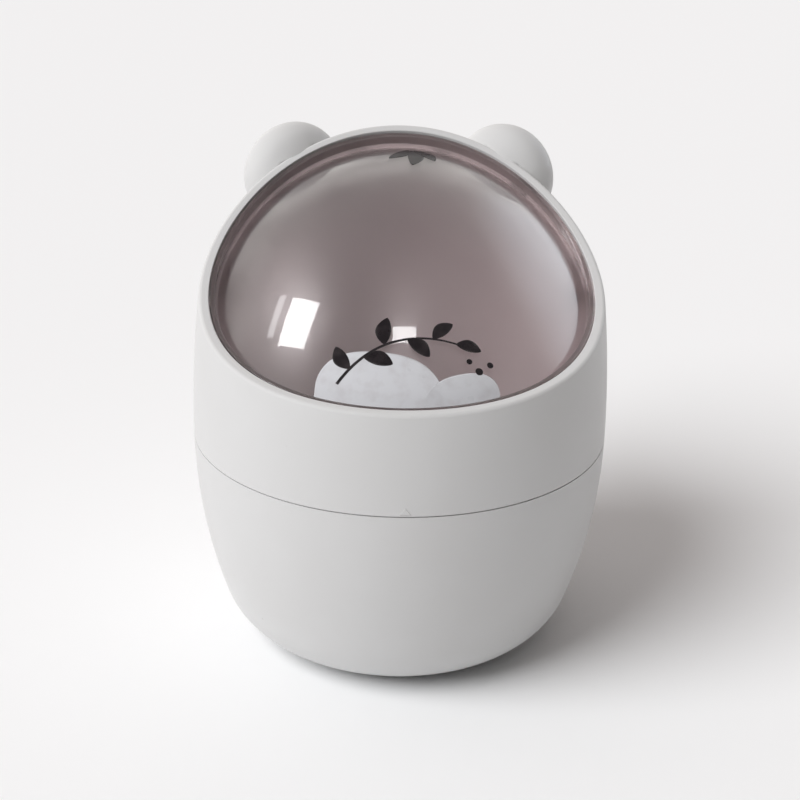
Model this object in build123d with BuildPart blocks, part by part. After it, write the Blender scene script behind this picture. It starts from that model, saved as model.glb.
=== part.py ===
from build123d import *
import math
import os

os.makedirs("parts", exist_ok=True)

# Push-top countertop bin.  Millimetres, +Z up, the front of the bin faces -Y.
# The origin is on the resting plane, at the centre of the base.

# ---- Outline of the body: three tangent arcs turned about Z ----
BODY_R = 70.0          # widest radius, at the joint line
JOINT_Z = 74.0         # height of the joint line between bucket and housing
LOWER_ARC = 180.0      # radius of the side below the joint line
UPPER_ARC = 385.0      # radius of the side above it
BASE_ARC = 25.0        # rounding between side and base
BASE_Z = 0.6           # the base stands this high on its foot ring
BODY_TOP = 176.0       # the turned outline runs past the lip, which trims it

# ---- Lip: a parabola in side view, cut straight across in X ----
LIP_FRONT_Z = 107.0    # height of the lip at the front
LIP_RISE = 0.0773      # slope of the lip at the front
LIP_SWEEP = 0.0029     # growth of that slope towards the back, per mm
LIP_SPAN = 80.0        # the curve is drawn this far to the front and back
LIP_WALL = 3.3         # thickness of the lip
LIP_DEPTH = 5.0        # height of the thick lip band
LIP_OUTER_ROUND = 1.2
LIP_INNER_ROUND = 0.3
BELOW_ALL = 120.0      # a drop that reaches below every ring under the lip
ABOVE_ALL = -80.0      # and one that reaches above the highest piece
SAME_PLACE = 0.05      # two points nearer than this are taken as one

# ---- Bucket and housing ----
BUCKET_WALL = 2.2
HOUSING_WALL = 2.0
SHADOW_GAP = 0.4       # groove between bucket and housing, seen as a dark line
SHADOW_DEPTH = 1.0
NECK_TOP = 84.0        # the bucket's neck reaches this far up inside the housing
NECK_R = 67.7
NECK_WALL = 1.8
NECK_ROOT_Z = 72.0     # the neck's inner face ends here and flares to the bowl
FLARE_Z = 66.0
NECK_CHAMFER = 0.5
KEY_WIDTH = 5.0        # key on the housing, which drops into a slot in the neck
KEY_HEIGHT = 6.5
KEY_Z = 76.5
KEY_IN = 66.3          # radius of the key's inner face
KEY_SLOT_WIDTH = 6.0
KEY_SLOT_Z = 75.5
KEY_SLOT_INSIDE = 64.0 # the slot is cut from this radius outwards
MARK_WIDTH = 3.4       # raised arrow at the front that shows how the housing goes on
MARK_HEIGHT = 2.0
MARK_Z = 74.7
MARK_PROUD = 0.2
FOOT_R = (28.0, 34.0)
FOOT_HEIGHT = 1.2
FOOT_ROUND = 0.4
FOOT_FIT = 0.1
RECESS_R = 23.0        # shallow recess in the middle of the underside
RECESS_DEPTH = 0.5

# ---- Lid: every inset is from the turned outline, every drop from the lip ----
LID_INSET = 3.8        # outer face of the upstand, 0.5 from the lip
LID_DROP = 0.3         # the upstand stands this far below the lip's top
UPSTAND = 1.5
UPSTAND_ROUND = 0.35   # rounding of both its top edges
GUTTER_DROP = 3.6
GUTTER_UNDER = 5.2
FOOT_INSET = 6.2       # the dome is trimmed here, inside the gutter
DOME_CENTRE = (0.0, 6.1, 39.4)
DOME_LEAN = 39.2       # the dome's own axis leans back by this angle
DOME_ALONG = 131.7     # half axis of the spheroid along that axis
DOME_ACROSS = 93.7     # and across it
DOME_WALL = 1.8

# ---- Pivot, across X on each side ----
PIVOT_Y = 6.0
PIVOT_Z = 118.5
LUG_X = (56.4, 59.2)   # the lid's lug lies between these
HUB_R = 4.2            # rounded end of the lug
LUG_TOP = 10.0         # the lug runs this far up into the foot of the dome
TAIL_HALF = 1.5        # half width of the tail that meets the stop
TAIL_LENGTH = 10.2
PIN_R = 1.25
PIN_HEAD_R = 2.3
PIN_HEAD = 0.8
PIN_END_X = 64.5
PIN_CHAMFER = 0.25
PIN_GROOVE_R = 1.0
CLIP_X = (59.25, 59.75)
CLIP_R = 2.2
CLIP_MOUTH = 1.6
BUSH_BORE = 1.30
BUSH_R = 2.1
BUSH_X = (62.4, 64.6)
BOSS_R = 3.9
BOSS_X = (62.4, 64.3)

# ---- Spring: two and a half turns about the pin, both legs hang down ----
WIRE_R = 0.3
COIL_R = 1.85
COIL_PITCH = 0.68
COIL_TURNS = 2.5
COIL_X = 60.2          # centre of the wire at the lid's end of the coil
LEG_LENGTH = 6.0
POST_R = 0.6           # the legs bear on a post on the tail and a post on the collar
POST_DOWN = 4.8
POST_SIDE = 0.9
TAIL_POST_X = (59.0, 60.6)
COLLAR_POST_X = (61.3, 64.6)

# ---- Collar under the lip ----
COLLAR_OUTER = 2.1
COLLAR_INNER = 3.3
COLLAR_TOP = 5.05
COLLAR_FOOT = 20.0
LEDGE_OUTER = 2.8      # stop ledge round the back half, rooted inside the collar's wall
LEDGE_INNER = 7.7
LEDGE_DROP = (6.1, 7.9)
LEDGE_START_Y = 16.0
STOP_R = 1.5           # peg that stops the tail when the lid is open
STOP_REACH = 8.4       # distance of the peg from the pivot
STOP_ANGLE = -8.0      # its direction, from +Y upwards
STOP_X = (56.8, 63.2)
BUMPER_INSET = (4.3, 7.0)
BUMPER_DROP = (5.3, 6.1)
BUMPER_AZIMUTHS = (45.0, 75.0, 105.0, 135.0)
BUMPER_SPAN = 6.0      # degrees
SNAP_AZIMUTHS = (-140.0, -40.0, 28.0, 152.0)
SNAP_DROP = 13.0
SNAP_WIDTH = 5.0
SNAP_HEIGHT = 2.4
SNAP_FACE = 0.6        # height of the upright face above the ramp
SNAP_PROUD = 0.9
SNAP_PLAY = 0.5        # room round each wedge in its window
SNAP_LIFT = 0.12       # and how much of it lies above the wedge
WINDOW_DEPTH = 20.0    # length of each window's cut, centred on the widest radius

# ---- Ears ----
EAR_AZIMUTH = 57.6
EAR_Z = 145.0
EAR_OUT = 7.0          # the ear's centre stands this far outside the wall
EAR_ALONG = 14.0       # half depth of the ear, radially
EAR_ACROSS = 18.8      # half width and half height
EAR_CORNER = 10.6      # rounding between its flatter faces
EAR_WALL = 2.0
EAR_FIT = 0.05         # gap between ear and housing
SCREW_Z = 134.0
PEG_Z = 150.5
EAR_BOSS_R = 3.2
EAR_BOSS_LENGTH = 25.0 # both bosses run on into the ear's far wall
PEG_R = 2.0
PEG_LENGTH = 1.8
PEG_FIT = 0.05
SCREW_R = 1.4
SCREW_HOLE_R = 1.6
SCREW_LENGTH = 8.5
SCREW_HEAD_R = 2.8
SCREW_HEAD = 1.7
SCREW_HEAD_ROUND = 0.7
SCREW_SEAT = 0.08      # the flat head bridges the curve of the wall
DRIVE_WIDTH = 0.7
DRIVE_LENGTH = 3.2
DRIVE_DEPTH = 0.9


def outline(z):
    """Radius of the body at height z, above its base rounding."""
    if z >= JOINT_Z:
        return BODY_R - UPPER_ARC + math.sqrt(UPPER_ARC**2 - (z - JOINT_Z) ** 2)
    return BODY_R - LOWER_ARC + math.sqrt(LOWER_ARC**2 - (JOINT_Z - z) ** 2)


def lip_height(y):
    """Height of the lip at depth y."""
    run = y + outline(LIP_FRONT_Z)
    return LIP_FRONT_Z + LIP_RISE * run + LIP_SWEEP * run**2


def side_arc(inset, low, high):
    """Stretch of the outline between two heights, moved in towards the axis."""
    middle = (low + high) / 2
    return ThreePointArc(
        (outline(low) - inset, low),
        (outline(middle) - inset, middle),
        (outline(high) - inset, high),
    )


def lip_curve(drop):
    """The lip in side view, lowered: a parabola has exactly three control points."""
    front = lip_height(-LIP_SPAN) - drop
    slope = LIP_RISE + 2 * LIP_SWEEP * (outline(LIP_FRONT_Z) - LIP_SPAN)
    return Bezier(
        (-LIP_SPAN, front),
        (0, front + slope * LIP_SPAN),
        (LIP_SPAN, lip_height(LIP_SPAN) - drop),
    )


def lip_band(upper, lower):
    """Side view of everything between two drops below the lip."""
    with BuildLine() as edge:
        top = lip_curve(upper)
        bottom = lip_curve(lower)
        Line(top @ 0, bottom @ 0)
        Line(top @ 1, bottom @ 1)
    make_face(edge.edges())


def lip_ring(outer, inner, upper, lower):
    """Ring, or a disc where inner is None, that follows both the outline and the lip."""
    with BuildPart() as ring:
        with BuildSketch(Plane.XZ):
            with BuildLine():
                outside = side_arc(outer, JOINT_Z, BODY_TOP)
                if inner is None:
                    Polyline(outside @ 0, (0, JOINT_Z), (0, BODY_TOP), outside @ 1)
                else:
                    inside = side_arc(inner, JOINT_Z, BODY_TOP)
                    Line(outside @ 0, inside @ 0)
                    Line(outside @ 1, inside @ 1)
            make_face()
        revolve(axis=Axis.Z)
        with BuildSketch(Plane.YZ.offset(-BODY_R)):
            lip_band(upper, lower)
        extrude(amount=2 * BODY_R, mode=Mode.INTERSECT)
    return ring.part


def lip_edge(piece, inset, drop):
    """The edges of a piece that follow the lip at one inset and one drop."""

    def lies_there(edge):
        point = edge @ 0.5
        off_side = math.hypot(point.X, point.Y) - outline(point.Z) + inset
        off_lip = lip_height(point.Y) - drop - point.Z
        return abs(off_side) < SAME_PLACE and abs(off_lip) < SAME_PLACE

    return piece.edges().filter_by(lies_there)


def spheroid(centre, axis, normal, along, across):
    """Half an ellipse turned about its own axis through the centre."""
    with BuildPart() as solid:
        with BuildSketch(Plane(origin=centre, x_dir=axis, z_dir=normal)):
            Ellipse(along, across)
            Rectangle(2 * along, across, align=(Align.CENTER, Align.MIN), mode=Mode.INTERSECT)
        revolve(axis=Axis(centre, axis))
    return solid.part


def radial_plane(azimuth):
    """Upright plane through the axis: local x points outwards, local y up."""
    cosine = math.cos(math.radians(azimuth))
    sine = math.sin(math.radians(azimuth))
    return Plane(origin=(0, 0, 0), x_dir=(cosine, sine, 0), z_dir=(sine, -cosine, 0))


def pivot_plane(x):
    """Plane across the pivot: local x points back, local y up."""
    return Plane(origin=(x, PIVOT_Y, PIVOT_Z), x_dir=(0, 1, 0), z_dir=(1, 0, 0))


def wall_plane(z, depth):
    """Plane at a depth under the housing's outside at the right ear, facing squarely out of it."""
    lean = math.asin((z - JOINT_Z) / UPPER_ARC)
    turn = math.radians(EAR_AZIMUTH)
    outside = Plane(
        origin=(outline(z) * math.cos(turn), outline(z) * math.sin(turn), z),
        x_dir=(-math.sin(turn), math.cos(turn), 0),
        z_dir=(math.cos(lean) * math.cos(turn), math.cos(lean) * math.sin(turn), math.sin(lean)),
    )
    return outside.offset(-depth)


# ---- Lower bucket: one white moulding, a bowl with a thin neck standing inside the housing ----
base_centre_z = BASE_Z + BASE_ARC
base_centre_r = BODY_R - LOWER_ARC + math.sqrt(
    (LOWER_ARC - BASE_ARC) ** 2 - (JOINT_Z - base_centre_z) ** 2
)


def bowl_profile(wall, top):
    """Floor, base rounding and side of the bowl, set in by the wall, up to a height."""
    corner = BASE_ARC - wall
    side = LOWER_ARC - wall
    side_centre_r = BODY_R - LOWER_ARC
    tangent = math.atan2(base_centre_z - JOINT_Z, base_centre_r - side_centre_r)
    half_tangent = (tangent - math.pi / 2) / 2
    top_angle = math.asin((top - JOINT_Z) / side)
    mid_angle = (tangent + top_angle) / 2
    floor_end = (base_centre_r, base_centre_z - corner)
    Line((0, base_centre_z - corner), floor_end)
    rounding = ThreePointArc(
        floor_end,
        (
            base_centre_r + corner * math.cos(half_tangent),
            base_centre_z + corner * math.sin(half_tangent),
        ),
        (
            base_centre_r + corner * math.cos(tangent),
            base_centre_z + corner * math.sin(tangent),
        ),
    )
    return ThreePointArc(
        rounding @ 1,
        (side_centre_r + side * math.cos(mid_angle), JOINT_Z + side * math.sin(mid_angle)),
        (side_centre_r + side * math.cos(top_angle), top),
    )


with BuildPart() as lower_bucket:
    with BuildSketch(Plane.XZ):
        with BuildLine():
            outside = bowl_profile(0, JOINT_Z - SHADOW_GAP)
            inside = bowl_profile(BUCKET_WALL, FLARE_Z)
            Polyline(
                outside @ 1,
                (BODY_R - SHADOW_DEPTH, JOINT_Z - SHADOW_GAP),
                (BODY_R - SHADOW_DEPTH, JOINT_Z),
                (NECK_R, JOINT_Z),
                (NECK_R, NECK_TOP),
                (NECK_R - NECK_WALL, NECK_TOP),
                (NECK_R - NECK_WALL, NECK_ROOT_Z),
                inside @ 1,
            )
            Line((0, BASE_Z), (0, BASE_Z + BUCKET_WALL))
        make_face()
    revolve(axis=Axis.Z)
    chamfer(lower_bucket.edges().filter_by(GeomType.CIRCLE).group_by(Axis.Z)[-1], NECK_CHAMFER)
    # slot for the housing's key, open at the top of the neck
    with BuildSketch(Plane.XZ.offset(KEY_SLOT_INSIDE)):
        with Locations((0, KEY_SLOT_Z)):
            Rectangle(KEY_SLOT_WIDTH, NECK_TOP, align=(Align.CENTER, Align.MIN))
    extrude(amount=NECK_R - KEY_SLOT_INSIDE, mode=Mode.SUBTRACT)
    # groove for the foot ring and a shallow recess inside it
    with BuildSketch(Plane.XY.offset(BASE_Z)):
        Circle(FOOT_R[1] + FOOT_FIT)
        Circle(FOOT_R[0] - FOOT_FIT, mode=Mode.SUBTRACT)
    extrude(amount=FOOT_HEIGHT - BASE_Z, mode=Mode.SUBTRACT)
    with BuildSketch(Plane.XY.offset(BASE_Z)):
        Circle(RECESS_R)
    extrude(amount=RECESS_DEPTH, mode=Mode.SUBTRACT)

lower_bucket.part.label = "lower_bucket"
export_step(lower_bucket.part, "parts/lower_bucket.step")


# ---- Foot ring: soft non-slip ring pressed into the groove under the base ----
with BuildPart() as foot_ring:
    with BuildSketch():
        Circle(FOOT_R[1])
        Circle(FOOT_R[0], mode=Mode.SUBTRACT)
    extrude(amount=FOOT_HEIGHT)
    fillet(foot_ring.edges().group_by(Axis.Z)[0], FOOT_ROUND)

foot_ring.part.label = "foot_ring"
export_step(foot_ring.part, "parts/foot_ring.step")


# ---- Upper housing: thin shell with a thick rounded lip, a key and four snap wedges ----
housing_room = lip_ring(HOUSING_WALL, None, LIP_DEPTH, BELOW_ALL)

with BuildPart() as upper_housing:
    with BuildSketch(Plane.XZ):
        with BuildLine():
            outer_side = side_arc(0, JOINT_Z, BODY_TOP)
            inner_side = side_arc(LIP_WALL, JOINT_Z, BODY_TOP)
            Line(outer_side @ 0, inner_side @ 0)
            Line(outer_side @ 1, inner_side @ 1)
        make_face()
    revolve(axis=Axis.Z)
    add(housing_room, mode=Mode.SUBTRACT)
    with BuildSketch(Plane.YZ.offset(-BODY_R)):
        lip_band(ABOVE_ALL, 0)
    extrude(amount=2 * BODY_R, mode=Mode.SUBTRACT)
    fillet(lip_edge(upper_housing, 0, 0), LIP_OUTER_ROUND)
    fillet(lip_edge(upper_housing, LIP_WALL, 0), LIP_INNER_ROUND)

    # key that drops into the neck's slot
    with BuildSketch(Plane.XZ.offset(KEY_IN)):
        with Locations((0, KEY_Z)):
            Rectangle(KEY_WIDTH, KEY_HEIGHT, align=(Align.CENTER, Align.MIN))
    extrude(amount=BODY_R - HOUSING_WALL / 2 - KEY_IN)
    # raised arrow just above the joint
    with BuildSketch(Plane.XZ.offset(BODY_R - HOUSING_WALL / 2)):
        with BuildLine():
            Polyline(
                (-MARK_WIDTH / 2, MARK_Z),
                (MARK_WIDTH / 2, MARK_Z),
                (0, MARK_Z + MARK_HEIGHT),
                close=True,
            )
        make_face()
    extrude(amount=HOUSING_WALL / 2 + MARK_PROUD)
    # wedges that the collar snaps over: flat on top, a ramp below
    for azimuth in SNAP_AZIMUTHS:
        wedge_z = lip_height(BODY_R * math.sin(math.radians(azimuth))) - SNAP_DROP
        wall_r = outline(wedge_z) - HOUSING_WALL
        with BuildSketch(radial_plane(azimuth)):
            with BuildLine():
                Polyline(
                    (wall_r + HOUSING_WALL / 2, wedge_z),
                    (wall_r - SNAP_PROUD, wedge_z),
                    (wall_r - SNAP_PROUD, wedge_z - SNAP_FACE),
                    (wall_r, wedge_z - SNAP_HEIGHT),
                    (wall_r + HOUSING_WALL / 2, wedge_z - SNAP_HEIGHT),
                    close=True,
                )
            make_face()
        extrude(amount=SNAP_WIDTH / 2, both=True)
    # screw hole and peg hole for each ear
    with BuildSketch(wall_plane(SCREW_Z, HOUSING_WALL)):
        Circle(SCREW_HOLE_R)
    screw_hole = extrude(amount=2 * HOUSING_WALL, both=True, mode=Mode.SUBTRACT)
    with BuildSketch(wall_plane(PEG_Z, HOUSING_WALL)):
        Circle(PEG_R + PEG_FIT)
    peg_hole = extrude(amount=2 * HOUSING_WALL, both=True, mode=Mode.SUBTRACT)
    mirror([screw_hole, peg_hole], about=Plane.YZ, mode=Mode.SUBTRACT)

upper_housing.part.label = "upper_housing"
export_step(upper_housing.part, "parts/upper_housing.step")


# ---- Lid collar: inner ring with the pivot bosses, the back ledge and the open stops ----
ledge_ring = lip_ring(LEDGE_OUTER, LEDGE_INNER, *LEDGE_DROP)
collar_wall = lip_ring(COLLAR_OUTER, COLLAR_INNER, COLLAR_TOP, COLLAR_FOOT)

with BuildPart() as ledge:
    add(ledge_ring)
    with BuildSketch():
        with Locations((0, LEDGE_START_Y)):
            Rectangle(2 * BODY_R, BODY_R, align=(Align.CENTER, Align.MIN))
    extrude(amount=BODY_TOP, mode=Mode.INTERSECT)

with BuildPart() as pivot_side:
    with BuildSketch(pivot_plane(BOSS_X[0])):
        Circle(BOSS_R)
    extrude(amount=BOSS_X[1] - BOSS_X[0])
    stop_turn = math.radians(STOP_ANGLE)
    with BuildSketch(pivot_plane(STOP_X[0])):
        with Locations((STOP_REACH * math.cos(stop_turn), STOP_REACH * math.sin(stop_turn))):
            Circle(STOP_R)
    extrude(amount=STOP_X[1] - STOP_X[0])
    with BuildSketch(pivot_plane(COLLAR_POST_X[0])):
        with Locations((-POST_SIDE, -POST_DOWN)):
            Circle(POST_R)
    extrude(amount=COLLAR_POST_X[1] - COLLAR_POST_X[0])

with BuildPart() as lid_collar:
    add([collar_wall, ledge.part, pivot_side.part])
    mirror(pivot_side.part, about=Plane.YZ)
    for side in (-1, 1):
        with BuildSketch(pivot_plane(side * BUSH_X[0])):
            Circle(BUSH_R)
        extrude(amount=side * BODY_R, mode=Mode.SUBTRACT)
    # windows for the snap wedges
    for azimuth in SNAP_AZIMUTHS:
        wedge_z = lip_height(BODY_R * math.sin(math.radians(azimuth))) - SNAP_DROP
        with BuildSketch(radial_plane(azimuth)):
            with Locations((BODY_R, wedge_z + SNAP_LIFT)):
                Rectangle(
                    WINDOW_DEPTH, SNAP_HEIGHT + SNAP_PLAY, align=(Align.CENTER, Align.MAX)
                )
        extrude(amount=SNAP_WIDTH / 2 + SNAP_PLAY, both=True, mode=Mode.SUBTRACT)

lid_collar.part.label = "lid_collar"
export_step(lid_collar.part, "parts/lid_collar.step")


# ---- Lid bumpers: soft pads on the ledge that the closed lid rests on ----
bumper_ring = lip_ring(*BUMPER_INSET, *BUMPER_DROP)

for number, azimuth in enumerate(BUMPER_AZIMUTHS, start=1):
    with BuildPart() as lid_bumper:
        add(bumper_ring)
        with BuildSketch():
            with BuildLine():
                first, last = azimuth - BUMPER_SPAN / 2, azimuth + BUMPER_SPAN / 2
                near = PolarLine((0, 0), BODY_TOP, first)
                far = PolarLine((0, 0), BODY_TOP, last)
                Line(near @ 1, far @ 1)
            make_face()
        extrude(amount=BODY_TOP, mode=Mode.INTERSECT)
    lid_bumper.part.label = f"lid_bumper_{number}"
    export_step(lid_bumper.part, f"parts/lid_bumper_{number}.step")


# ---- Dome lid: one clear moulding, an upstand, a gutter, the dome and two lugs ----
dome_turn = math.radians(DOME_LEAN)
dome_axis = (0, math.sin(dome_turn), math.cos(dome_turn))
dome_outer, dome_middle, dome_inner = (
    spheroid(DOME_CENTRE, dome_axis, (1, 0, 0), DOME_ALONG - depth, DOME_ACROSS - depth)
    for depth in (0, DOME_WALL / 2, DOME_WALL)
)
dome_bounds = lip_ring(FOOT_INSET, None, ABOVE_ALL, GUTTER_UNDER)
gutter_plate = lip_ring(LID_INSET, None, GUTTER_DROP, GUTTER_UNDER)

with BuildPart() as upstand:
    add(lip_ring(LID_INSET, LID_INSET + UPSTAND, LID_DROP, GUTTER_UNDER))
    for inset in (LID_INSET, LID_INSET + UPSTAND):
        fillet(lip_edge(upstand, inset, LID_DROP), UPSTAND_ROUND)

with BuildPart() as lug:
    with BuildSketch(pivot_plane(LUG_X[0])):
        Circle(HUB_R)
        Rectangle(2 * HUB_R, LUG_TOP, align=(Align.CENTER, Align.MIN))
        with Locations((0, TAIL_HALF - TAIL_LENGTH)):
            Rectangle(2 * TAIL_HALF, TAIL_LENGTH - TAIL_HALF, align=(Align.CENTER, Align.MIN))
            Circle(TAIL_HALF)
        Circle(PIN_R, mode=Mode.SUBTRACT)
    extrude(amount=LUG_X[1] - LUG_X[0])
    add(dome_middle, mode=Mode.INTERSECT)
    with BuildSketch(pivot_plane(TAIL_POST_X[0])):
        with Locations((POST_SIDE, -POST_DOWN)):
            Circle(POST_R)
    extrude(amount=TAIL_POST_X[1] - TAIL_POST_X[0])

with BuildPart() as dome_lid:
    add(dome_outer)
    add(dome_bounds, mode=Mode.INTERSECT)
    add([gutter_plate, upstand.part])
    add(dome_inner, mode=Mode.SUBTRACT)
    add(lug.part)
    mirror(lug.part, about=Plane.YZ)

dome_lid.part.label = "dome_lid"
export_step(dome_lid.part, "parts/dome_lid.step")


# ---- Pivot pin: steel, headed, with a groove for its retaining clip ----
with BuildPart() as pivot_pin:
    with BuildSketch(pivot_plane(LUG_X[0] - PIN_HEAD)):
        Circle(PIN_HEAD_R)
    extrude(amount=PIN_HEAD)
    with BuildSketch(pivot_plane(LUG_X[0])):
        Circle(PIN_R)
    extrude(amount=PIN_END_X - LUG_X[0])
    chamfer(pivot_pin.edges().filter_by(GeomType.CIRCLE).group_by(Axis.X)[-1], PIN_CHAMFER)
    fillet(pivot_pin.edges().filter_by(GeomType.CIRCLE).group_by(Axis.X)[0], PIN_HEAD / 2)
    with BuildSketch(pivot_plane(CLIP_X[0])):
        Circle(PIN_R)
        Circle(PIN_GROOVE_R, mode=Mode.SUBTRACT)
    extrude(amount=CLIP_X[1] - CLIP_X[0], mode=Mode.SUBTRACT)

# ---- Pin clip: open retaining ring in the pin's groove, against the lug ----
with BuildPart() as pin_clip:
    with BuildSketch(pivot_plane(CLIP_X[0])):
        Circle(CLIP_R)
        Circle(PIN_GROOVE_R, mode=Mode.SUBTRACT)
        Rectangle(CLIP_MOUTH, 2 * CLIP_R, align=(Align.CENTER, Align.MAX), mode=Mode.SUBTRACT)
    extrude(amount=CLIP_X[1] - CLIP_X[0])

# ---- Pivot bush: plastic sleeve pressed into the collar's boss ----
with BuildPart() as pivot_bush:
    with BuildSketch(pivot_plane(BUSH_X[0])):
        Circle(BUSH_R)
        Circle(BUSH_BORE, mode=Mode.SUBTRACT)
    extrude(amount=BUSH_X[1] - BUSH_X[0])

# ---- Return spring: torsion coil round the pin, which presses the lid shut ----
coil = pivot_plane(COIL_X) * Helix(COIL_PITCH, COIL_PITCH * COIL_TURNS, COIL_R)

with BuildPart() as return_spring:
    with BuildSketch(Plane(origin=coil @ 0, z_dir=coil % 0)):
        Circle(WIRE_R)
    sweep(path=coil, is_frenet=True)
    for leg_start, leg_way in ((coil @ 0, -(coil % 0)), (coil @ 1, coil % 1)):
        with BuildSketch(Plane(origin=leg_start, z_dir=leg_way)):
            Circle(WIRE_R)
        extrude(amount=LEG_LENGTH)

# ---- Ear: hollow round cap on the housing, with a screw boss and a locating peg ----
ear_turn = math.radians(EAR_AZIMUTH)
ear_way = (math.cos(ear_turn), math.sin(ear_turn), 0)
ear_radius = outline(EAR_Z) + EAR_OUT
ear_centre = (ear_radius * ear_way[0], ear_radius * ear_way[1], EAR_Z)
ear_hub = EAR_ACROSS - EAR_CORNER
ear_lead = EAR_ALONG - EAR_CORNER
ear_shift = (ear_hub**2 - ear_lead**2) / (2 * ear_lead)


def ear_oval(depth):
    """Oval of three tangent arcs, set in by a depth and turned about the ear's radial axis."""
    corner_start = math.degrees(math.atan2(ear_hub, ear_shift))
    cap = EAR_ALONG + ear_shift - depth
    with BuildPart() as solid:
        with BuildSketch(Plane(origin=ear_centre, x_dir=ear_way, z_dir=(0, 0, 1))):
            with BuildLine():
                outer_cap = CenterArc((-ear_shift, 0), cap, 0, corner_start)
                CenterArc(
                    (0, ear_hub), EAR_CORNER - depth, corner_start, 180 - 2 * corner_start
                )
                inner_cap = CenterArc((ear_shift, 0), cap, 180 - corner_start, corner_start)
                Line(inner_cap @ 1, outer_cap @ 0)
            make_face()
        revolve(axis=Axis(ear_centre, ear_way))
    return solid.part


ear_outer, ear_middle, ear_inner = (ear_oval(depth) for depth in (0, EAR_WALL / 2, EAR_WALL))

with BuildPart() as body_solid:
    with BuildSketch(Plane.XZ):
        with BuildLine():
            ear_side = side_arc(-EAR_FIT, JOINT_Z, BODY_TOP)
            Polyline(ear_side @ 0, (0, JOINT_Z), (0, BODY_TOP), ear_side @ 1)
        make_face()
    revolve(axis=Axis.Z)

with BuildPart() as ear_bosses:
    for height in (SCREW_Z, PEG_Z):
        with BuildSketch(wall_plane(height, 0)):
            Circle(EAR_BOSS_R)
        extrude(amount=EAR_BOSS_LENGTH)
    add(ear_middle, mode=Mode.INTERSECT)

with BuildPart() as ear:
    add(ear_outer)
    add(ear_inner, mode=Mode.SUBTRACT)
    add(ear_bosses.part)
    add(body_solid.part, mode=Mode.SUBTRACT)
    with BuildSketch(wall_plane(PEG_Z, 0)):
        Circle(PEG_R)
    extrude(amount=-PEG_LENGTH)
    with BuildSketch(wall_plane(PEG_Z, 0)):
        Circle(PEG_R)
    extrude(amount=EAR_BOSS_R)
    with BuildSketch(wall_plane(SCREW_Z, 0)):
        Circle(SCREW_R)
    extrude(amount=SCREW_LENGTH, both=True, mode=Mode.SUBTRACT)

# ---- Ear screw: pan head inside the housing, shank through the wall into the ear's boss ----
head_plane = wall_plane(SCREW_Z, HOUSING_WALL + SCREW_SEAT)
with BuildPart() as ear_screw:
    with BuildSketch(head_plane):
        Circle(SCREW_HEAD_R)
    extrude(amount=-SCREW_HEAD)
    head_round = ear_screw.edges().filter_by(GeomType.CIRCLE)
    fillet(head_round.sort_by_distance((0, 0, SCREW_Z))[0], SCREW_HEAD_ROUND)
    with BuildSketch(head_plane):
        Circle(SCREW_R)
    extrude(amount=SCREW_LENGTH)
    for turn in (0, 90):
        with BuildSketch(head_plane.offset(-SCREW_HEAD)):
            Rectangle(DRIVE_WIDTH, DRIVE_LENGTH, rotation=turn)
        extrude(amount=DRIVE_DEPTH, mode=Mode.SUBTRACT)

# ---- The right-hand pieces above, and their mirror images on the left ----
pairs = {
    "pivot_pin": pivot_pin.part,
    "pin_clip": pin_clip.part,
    "pivot_bush": pivot_bush.part,
    "return_spring": return_spring.part,
    "ear": ear.part,
    "ear_screw": ear_screw.part,
}
for name, right_hand in pairs.items():
    with BuildPart() as left_hand:
        mirror(right_hand, about=Plane.YZ)
    right_hand.label = f"{name}_right"
    left_hand.part.label = f"{name}_left"
    export_step(right_hand, f"parts/{name}_right.step")
    export_step(left_hand.part, f"parts/{name}_left.step")
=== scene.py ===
import math
import bpy
import numpy as np
from mathutils import Matrix, Vector


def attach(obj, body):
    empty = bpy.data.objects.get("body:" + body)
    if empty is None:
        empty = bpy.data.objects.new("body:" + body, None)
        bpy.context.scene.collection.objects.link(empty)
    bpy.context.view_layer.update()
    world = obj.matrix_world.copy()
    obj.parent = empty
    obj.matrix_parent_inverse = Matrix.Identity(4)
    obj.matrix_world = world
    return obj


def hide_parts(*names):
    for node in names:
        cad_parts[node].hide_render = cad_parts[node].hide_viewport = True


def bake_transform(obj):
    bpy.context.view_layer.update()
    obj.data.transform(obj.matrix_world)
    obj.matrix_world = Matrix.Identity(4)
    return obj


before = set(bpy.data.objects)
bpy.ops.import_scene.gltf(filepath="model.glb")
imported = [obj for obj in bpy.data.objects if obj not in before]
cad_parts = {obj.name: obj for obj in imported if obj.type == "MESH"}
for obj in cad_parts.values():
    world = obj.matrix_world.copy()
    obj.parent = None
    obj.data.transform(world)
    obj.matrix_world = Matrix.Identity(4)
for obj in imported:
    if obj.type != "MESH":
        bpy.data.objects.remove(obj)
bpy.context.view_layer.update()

scene = bpy.context.scene

# ---------------------------------------------------------------------------------------------
# Camera.  A short telephoto that looks down on the bin from just left of its front, held with a
# slight roll, so that the lip's low front edge and the whole dome are in view. Angles are in
# radians, the lens in millimetres and everything else in metres.
# ---------------------------------------------------------------------------------------------
CAMERA_TARGET = Vector((0.0, 0.0, 0.0824))
CAMERA_DISTANCE = 0.5412
CAMERA_ELEVATION = 0.4069
CAMERA_TURN = -0.0318
CAMERA_ROLL = 0.0181
CAMERA_LENS = 71.34
SENSOR_WIDTH = 36.0
NEAREST_SEEN = 0.01

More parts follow.
